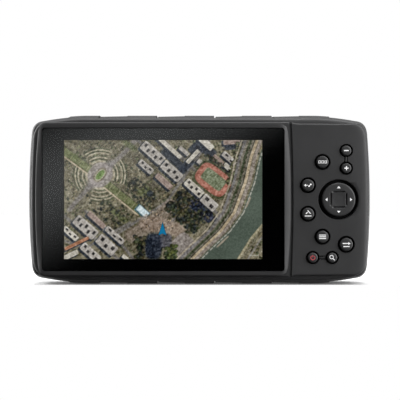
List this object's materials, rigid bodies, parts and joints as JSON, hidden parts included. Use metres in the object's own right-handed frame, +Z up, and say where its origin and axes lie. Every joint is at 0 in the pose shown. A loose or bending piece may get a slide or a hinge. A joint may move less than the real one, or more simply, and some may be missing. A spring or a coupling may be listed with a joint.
{
  "type": "portable aviation gps",
  "caption": "Landscape handheld flight navigation receiver with a glass-fronted chart display, a side keypad of round keys and a four-way pad, and a battery cover with folding rings.",
  "frame": {"origin": "on the surface the device stands on, under the middle of its bounding box", "axes": "+X to the right seen from the front, +Y from the display to the battery cover, +Z up"},
  "size_m": [0.1906, 0.043, 0.094],
  "materials": {
    "case": "fine textured moulded plastic",
    "keys": "satin moulded plastic",
    "grip": "matte rubber",
    "lens": "clear tinted glass",
    "display": "lit colour display",
    "steel": "brushed",
    "brass": "plated",
    "board": "solder mask",
    "battery": "satin film",
    "polyimide": "satin film",
    "ceramic": "fired ceramic",
    "foam": "closed-cell foam",
    "connector": "moulded connector plastic",
    "chassis": "die cast"
  },
  "bodies": {
    "case": {"rear_housing": "case", "front_housing": "case", "housing_seal": "grip", "upper_grip": "grip", "lower_grip": "grip", "display_lens": "lens", "lens_adhesive": "foam", "lcd_panel": "display", "backlight": "steel", "lcd_flex": "polyimide", "lcd_connector": "connector", "key_mat": "grip", "dome_sheet": "polyimide", "keypad_board": "board", "chassis": "chassis", "main_board": "board", "processor_shield": "steel", "receiver_shield": "steel", "beeper": "connector", "backup_cell": "steel", "io_board": "board", "antenna_patch": "ceramic", "antenna_ground": "brass", "antenna_lead": "connector", "antenna_connector": "brass", "usb_connector": "steel", "audio_jack": "connector", "power_connector": "connector", "battery_pack": "battery", "battery_contacts": "connector", "card_socket": "steel", "memory_card": "connector", "cover_insert_left": "brass", "cover_insert_right": "brass", "case_screw_1": "steel", "case_screw_2": "steel", "case_screw_3": "steel", "case_screw_4": "steel", "case_screw_5": "steel", "case_screw_6": "steel"},
    "dpad": {"dpad": "keys"},
    "dpad_gimbal": {"dpad_actuator": "connector"},
    "cover": {"battery_cover": "case", "cover_gasket": "grip"},
    "stud_left": {"cover_stud_left": "steel"},
    "stud_right": {"cover_stud_right": "steel"},
    "ring_left": {"d_ring_left": "steel"},
    "ring_right": {"d_ring_right": "steel"},
    "antenna_cap": {"antenna_cap": "grip"},
    "usb_cap": {"usb_cap": "grip"},
    "power_cap": {"power_cap": "grip"},
    "key_page": {"key_page": "keys"},
    "key_zoom_out": {"key_zoom_out": "keys"},
    "key_zoom_in": {"key_zoom_in": "keys"},
    "key_quit": {"key_quit": "keys"},
    "key_enter": {"key_enter": "keys"},
    "key_menu": {"key_menu": "keys"},
    "key_nav": {"key_nav": "keys"},
    "key_power": {"key_power": "keys"},
    "key_find": {"key_find": "keys"}
  },
  "joints": [
    {"name": "page_press", "type": "slide", "parent": "case", "child": "key_page", "axis": [0, 1, 0], "range_m": [0, 0.0008], "stiffness_N_per_m": 1500},
    {"name": "zoom_out_press", "type": "slide", "parent": "case", "child": "key_zoom_out", "axis": [0, 1, 0], "range_m": [0, 0.0008], "stiffness_N_per_m": 1500},
    {"name": "zoom_in_press", "type": "slide", "parent": "case", "child": "key_zoom_in", "axis": [0, 1, 0], "range_m": [0, 0.0008], "stiffness_N_per_m": 1500},
    {"name": "quit_press", "type": "slide", "parent": "case", "child": "key_quit", "axis": [0, 1, 0], "range_m": [0, 0.0008], "stiffness_N_per_m": 1500},
    {"name": "enter_press", "type": "slide", "parent": "case", "child": "key_enter", "axis": [0, 1, 0], "range_m": [0, 0.0008], "stiffness_N_per_m": 1500},
    {"name": "menu_press", "type": "slide", "parent": "case", "child": "key_menu", "axis": [0, 1, 0], "range_m": [0, 0.0008], "stiffness_N_per_m": 1500},
    {"name": "nav_press", "type": "slide", "parent": "case", "child": "key_nav", "axis": [0, 1, 0], "range_m": [0, 0.0008], "stiffness_N_per_m": 1500},
    {"name": "power_press", "type": "slide", "parent": "case", "child": "key_power", "axis": [0, 1, 0], "range_m": [0, 0.0008], "stiffness_N_per_m": 1500},
    {"name": "find_press", "type": "slide", "parent": "case", "child": "key_find", "axis": [0, 1, 0], "range_m": [0, 0.0008], "stiffness_N_per_m": 1500},
    {"name": "dpad_up_down", "type": "hinge", "parent": "case", "child": "dpad_gimbal", "pos_m": [0.0759, -0.015, 0.047], "axis": [1, 0, 0], "range_deg": [-3, 3], "stiffness_Nm_per_rad": 0.2},
    {"name": "dpad_left_right", "type": "hinge", "parent": "dpad_gimbal", "child": "dpad", "pos_m": [0.0759, -0.015, 0.047], "axis": [0, 0, 1], "range_deg": [-3, 3], "stiffness_Nm_per_rad": 0.2},
    {"name": "cover_lift", "type": "slide", "parent": "case", "child": "cover", "axis": [0, 1, 0], "range_m": [0, 0.02]},
    {"name": "stud_turn_left", "type": "hinge", "parent": "cover", "child": "stud_left", "pos_m": [-0.067, 0.018, 0.047], "axis": [0, 1, 0], "range_deg": [0, 90]},
    {"name": "ring_fold_left", "type": "hinge", "parent": "stud_left", "child": "ring_left", "pos_m": [-0.067, 0.0205, 0.0496], "axis": [1, 0, 0], "range_deg": [0, 90]},
    {"name": "stud_turn_right", "type": "hinge", "parent": "cover", "child": "stud_right", "pos_m": [0.039, 0.018, 0.047], "axis": [0, 1, 0], "range_deg": [0, 90]},
    {"name": "ring_fold_right", "type": "hinge", "parent": "stud_right", "child": "ring_right", "pos_m": [0.039, 0.0205, 0.0496], "axis": [1, 0, 0], "range_deg": [0, 90]},
    {"name": "antenna_cap_open", "type": "hinge", "parent": "case", "child": "antenna_cap", "pos_m": [0.06, 0.0182, 0.0765], "axis": [0, 0, 1], "range_deg": [0, 90]},
    {"name": "usb_cap_open", "type": "hinge", "parent": "case", "child": "usb_cap", "pos_m": [0.052, 0.0182, 0.0575], "axis": [0, 0, 1], "range_deg": [0, 90]},
    {"name": "power_cap_open", "type": "hinge", "parent": "case", "child": "power_cap", "pos_m": [0.0555, 0.0182, 0.0315], "axis": [0, 0, 1], "range_deg": [0, 90]}
  ]
}
